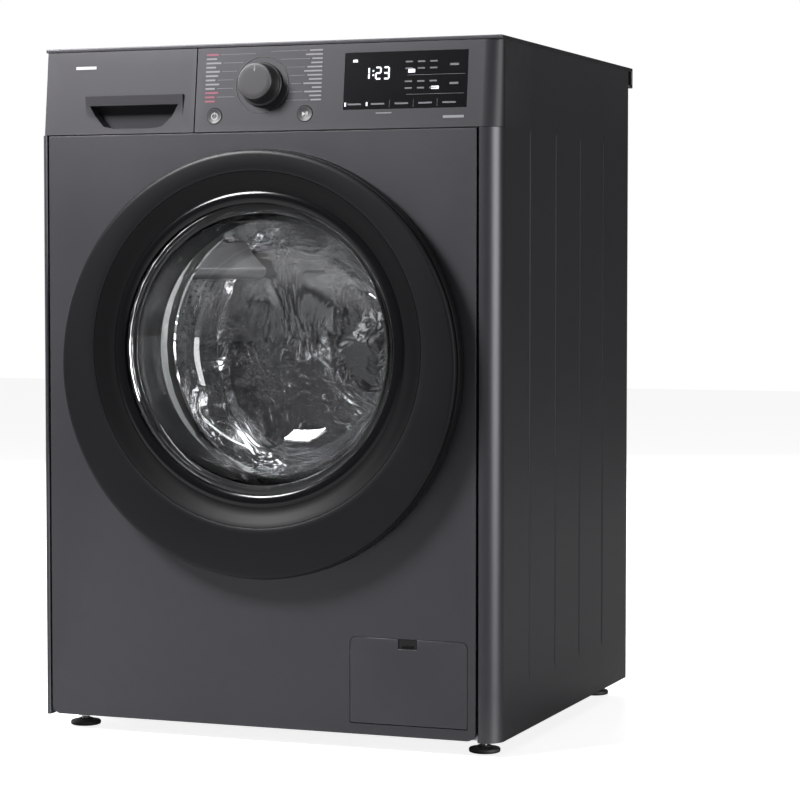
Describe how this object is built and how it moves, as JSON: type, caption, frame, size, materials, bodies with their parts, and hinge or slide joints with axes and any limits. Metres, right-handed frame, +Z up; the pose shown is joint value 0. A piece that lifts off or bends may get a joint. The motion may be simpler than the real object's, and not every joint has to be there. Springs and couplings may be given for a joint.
{
  "type": "front load washing machine",
  "caption": "Freestanding front-loading washing machine with a round glazed door, detergent drawer, rotary programme knob, display, suspended tub and direct-drive drum",
  "frame": {"origin": "centre of the bounding box's footprint, on the floor", "axes": "+Z up, front facing -Y, right-hand side +X"},
  "size_m": [0.6, 0.597, 0.85],
  "materials": {
    "graphite_paint": "satin",
    "graphite_plastic": "satin",
    "black_plastic": "satin",
    "display_glass": "gloss",
    "door_glass": "clear",
    "stainless": "brushed",
    "steel": "machined",
    "galvanised": "zinc coated",
    "grey_plastic": "moulded",
    "concrete": "cast, rough grey",
    "rubber": "matt",
    "foot_rubber": "matt",
    "circuit_board": "solder mask",
    "copper": "enamelled wire"
  },
  "bodies": {
    "cabinet": {"left_side_panel": "graphite_paint", "right_side_panel": "graphite_paint", "rear_panel": "graphite_paint", "rear_cover": "galvanised", "top_plate": "graphite_paint", "top_rail": "galvanised", "base_frame": "galvanised", "front_panel": "graphite_paint", "control_panel": "graphite_plastic", "display_window": "display_glass", "control_board": "circuit_board", "dispenser_housing": "grey_plastic", "inlet_valve": "grey_plastic", "cord_gland": "black_plastic", "door_gasket": "rubber", "door_lock": "black_plastic", "hinge_bracket": "steel", "pump_housing": "grey_plastic", "drain_hose": "rubber", "left_damper_cylinder": "black_plastic", "right_damper_cylinder": "black_plastic", "left_spring": "steel", "right_spring": "steel", "dispenser_hose": "rubber", "sump_hose": "rubber"},
    "tub": {"tub_front": "grey_plastic", "tub_rear": "grey_plastic", "upper_counterweight": "concrete", "front_counterweight": "concrete", "front_bearing": "steel", "rear_bearing": "steel", "shaft_seal": "rubber", "stator": "copper", "heater": "steel", "left_damper_rod": "steel", "right_damper_rod": "steel"},
    "drum": {"drum": "stainless", "drum_spider": "steel", "drum_shaft": "steel", "rotor": "steel", "lifter_1": "grey_plastic", "lifter_2": "grey_plastic", "lifter_3": "grey_plastic"},
    "door": {"door_ring": "black_plastic", "door_frame": "black_plastic", "door_glass": "door_glass", "hinge_pin": "steel"},
    "hook": {"door_hook": "steel"},
    "drawer": {"drawer_tray": "grey_plastic", "drawer_front": "graphite_plastic"},
    "knob": {"programme_knob": "black_plastic"},
    "power_key": {"power_button": "black_plastic"},
    "start_key": {"start_button": "black_plastic"},
    "cover": {"filter_cover": "graphite_plastic"},
    "filter": {"drain_filter": "black_plastic"},
    "impeller": {"pump_impeller": "black_plastic"},
    "front_left_foot": {"foot_1": "foot_rubber"},
    "front_right_foot": {"foot_2": "foot_rubber"},
    "rear_left_foot": {"foot_3": "foot_rubber"},
    "rear_right_foot": {"foot_4": "foot_rubber"}
  },
  "joints": [
    {"name": "tub_bounce", "type": "slide", "parent": "cabinet", "child": "tub", "axis": [0, 0, 1], "range_m": [-0.012, 0.012], "stiffness_N_per_m": 9000, "springref_m": 0.0495, "deforming": ["left_spring", "right_spring", "dispenser_hose", "sump_hose"]},
    {"name": "drum_spin", "type": "hinge", "parent": "tub", "child": "drum", "pos_m": [0, 0, 0.48], "axis": [0, 1, 0], "continuous": true},
    {"name": "door_swing", "type": "hinge", "parent": "cabinet", "child": "door", "pos_m": [-0.2467, -0.2845, 0.462], "axis": [0, 0, -1], "range_deg": [0, 120]},
    {"name": "hook_turn", "type": "hinge", "parent": "door", "child": "hook", "pos_m": [0.205, -0.2745, 0.48], "axis": [0, 0, -1], "range_deg": [0, 8], "stiffness_Nm_per_rad": 0.08},
    {"name": "drawer_slide", "type": "slide", "parent": "cabinet", "child": "drawer", "axis": [0, -1, 0], "range_m": [0, 0.2]},
    {"name": "knob_turn", "type": "hinge", "parent": "cabinet", "child": "knob", "pos_m": [-0.004, -0.25994, 0.79902], "axis": [0, -0.9932, 0.1163], "continuous": true},
    {"name": "power_press", "type": "slide", "parent": "cabinet", "child": "power_key", "axis": [0, 0.9932, -0.1163], "range_m": [0, 0.0012], "stiffness_N_per_m": 900},
    {"name": "start_press", "type": "slide", "parent": "cabinet", "child": "start_key", "axis": [0, 0.9932, -0.1163], "range_m": [0, 0.0012], "stiffness_N_per_m": 900},
    {"name": "cover_fold", "type": "hinge", "parent": "cabinet", "child": "cover", "pos_m": [0.19, -0.265, 0.0352], "axis": [1, 0, 0], "range_deg": [0, 95]},
    {"name": "filter_turn", "type": "hinge", "parent": "cabinet", "child": "filter", "pos_m": [0.19, -0.2665, 0.085], "axis": [0, 1, 0], "range_deg": [-90, 0]},
    {"name": "impeller_spin", "type": "hinge", "parent": "cabinet", "child": "impeller", "pos_m": [0.19, -0.2665, 0.085], "axis": [0, 1, 0], "continuous": true},
    {"name": "front_left_level", "type": "slide", "parent": "cabinet", "child": "front_left_foot", "axis": [0, 0, -1], "range_m": [0, 0.012]},
    {"name": "front_right_level", "type": "slide", "parent": "cabinet", "child": "front_right_foot", "axis": [0, 0, -1], "range_m": [0, 0.012]},
    {"name": "rear_left_level", "type": "slide", "parent": "cabinet", "child": "rear_left_foot", "axis": [0, 0, -1], "range_m": [0, 0.012]},
    {"name": "rear_right_level", "type": "slide", "parent": "cabinet", "child": "rear_right_foot", "axis": [0, 0, -1], "range_m": [0, 0.012]}
  ]
}
